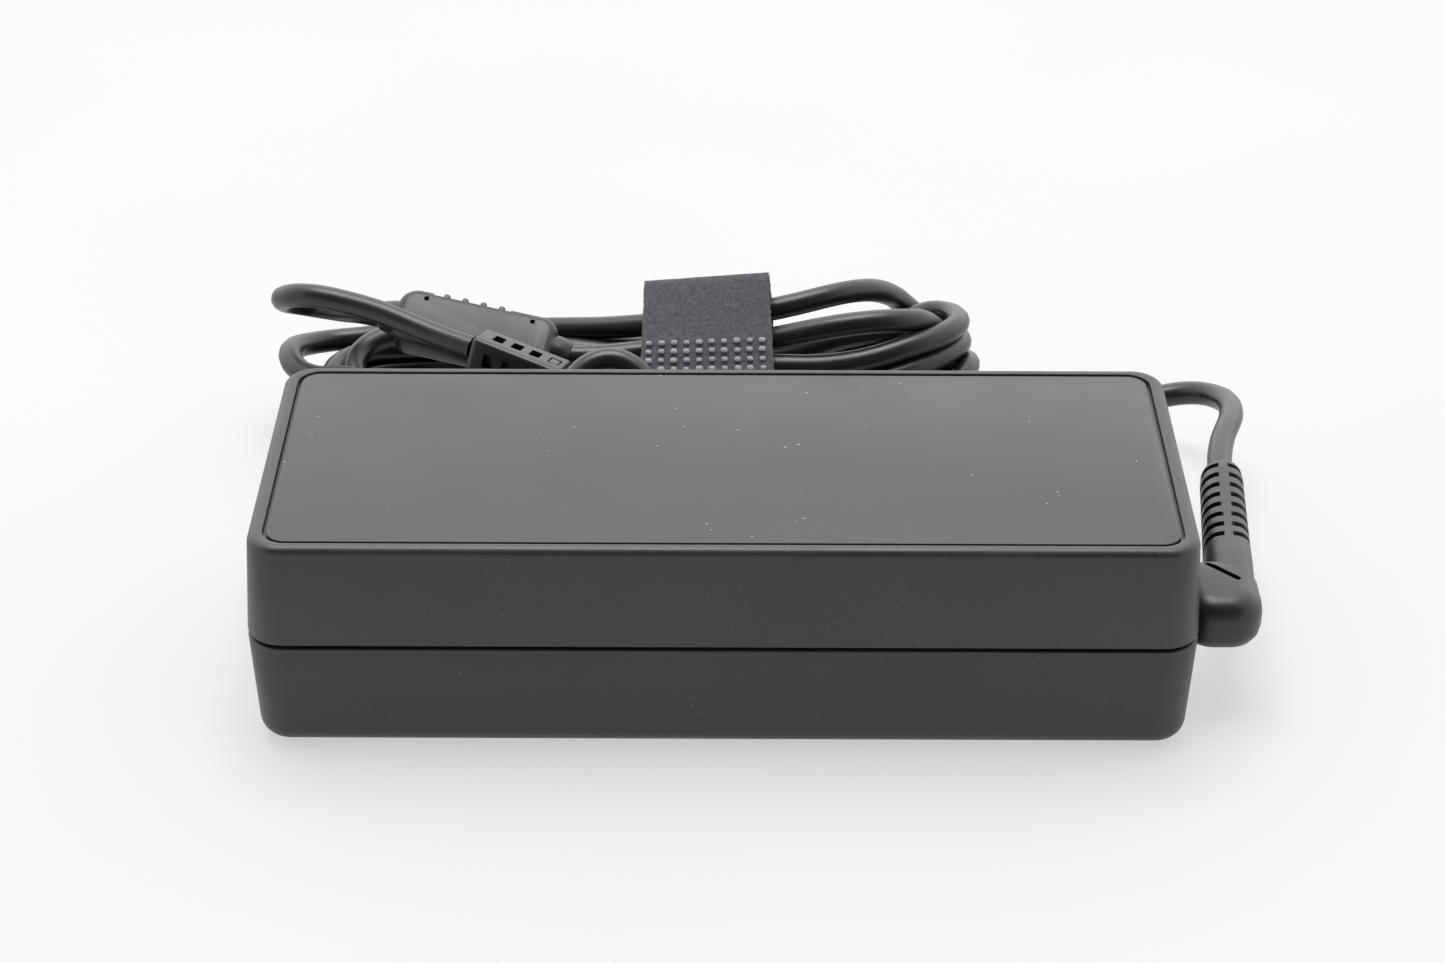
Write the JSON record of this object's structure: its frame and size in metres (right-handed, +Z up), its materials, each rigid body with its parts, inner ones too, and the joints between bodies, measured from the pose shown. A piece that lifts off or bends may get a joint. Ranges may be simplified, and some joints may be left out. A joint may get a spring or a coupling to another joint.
{
  "type": "laptop power adapter",
  "caption": "Slab-shaped laptop power adapter with a mains inlet at one end and, at the other, an elbowed output cord tied in a hank behind it.",
  "frame": {"origin": "centre of the case's flat bottom face, which stands on the table", "axes": "+X along the case towards the output elbow, +Y towards the tied cord, +Z up"},
  "size_m": [0.1524, 0.1045, 0.0315],
  "materials": {
    "case_plastic": "fine moulded grain",
    "label_film": "satin film",
    "cord_pvc": "satin",
    "moulded_grip": "satin",
    "tie_fabric": "felted loop with moulded hooks",
    "inlet_plastic": "satin",
    "contact_metal": "nickel plated",
    "plug_metal": "nickel plated",
    "plug_insulator": "satin",
    "board_laminate": "satin",
    "heatsink_aluminium": "plain sheet",
    "ferrite": "matte ceramic",
    "winding_tape": "satin film tape",
    "copper_winding": "enamelled copper",
    "component_epoxy": "matte",
    "film_capacitor_case": "satin",
    "capacitor_sleeve": "gloss",
    "ceramic_blue": "gloss",
    "insulating_sheet": "satin",
    "wire_black": "satin",
    "wire_red": "satin",
    "wire_green": "satin"
  },
  "bodies": {
    "root": {"upper_shell": "case_plastic", "lower_shell": "case_plastic", "label_film": "label_film", "inlet_housing": "inlet_plastic", "inlet_pin_line": "contact_metal", "inlet_pin_neutral": "contact_metal", "inlet_pin_earth": "contact_metal", "plug_centre_contact": "contact_metal", "inlet_lead_line": "wire_black", "output_lead_return": "wire_black", "inlet_lead_neutral": "wire_red", "output_lead_positive": "wire_red", "inlet_lead_earth": "wire_green", "main_board": "board_laminate", "control_board": "board_laminate", "insulating_tray": "insulating_sheet", "fuse": "component_epoxy", "bridge_rectifier": "component_epoxy", "switching_transistor": "component_epoxy", "rectifier_transistor": "component_epoxy", "x_capacitor": "film_capacitor_case", "input_choke": "copper_winding", "output_choke": "copper_winding", "bulk_capacitor": "capacitor_sleeve", "output_capacitor_front": "capacitor_sleeve", "output_capacitor_rear": "capacitor_sleeve", "primary_heatsink": "heatsink_aluminium", "secondary_heatsink": "heatsink_aluminium", "heat_spreader": "heatsink_aluminium", "transformer_core": "ferrite", "filter_ferrite": "ferrite", "transformer_winding": "winding_tape", "y_capacitor": "ceramic_blue", "output_elbow": "moulded_grip", "filter_housing": "moulded_grip", "plug_strain_relief": "moulded_grip", "plug_body": "moulded_grip", "cord_lead": "cord_pvc", "cord_hank": "cord_pvc", "cord_tail_inner": "cord_pvc", "cord_tail_outer": "cord_pvc", "cable_tie": "tie_fabric", "plug_tip_shell": "plug_metal", "plug_tip_insulator": "plug_insulator"}
  },
  "joints": []
}
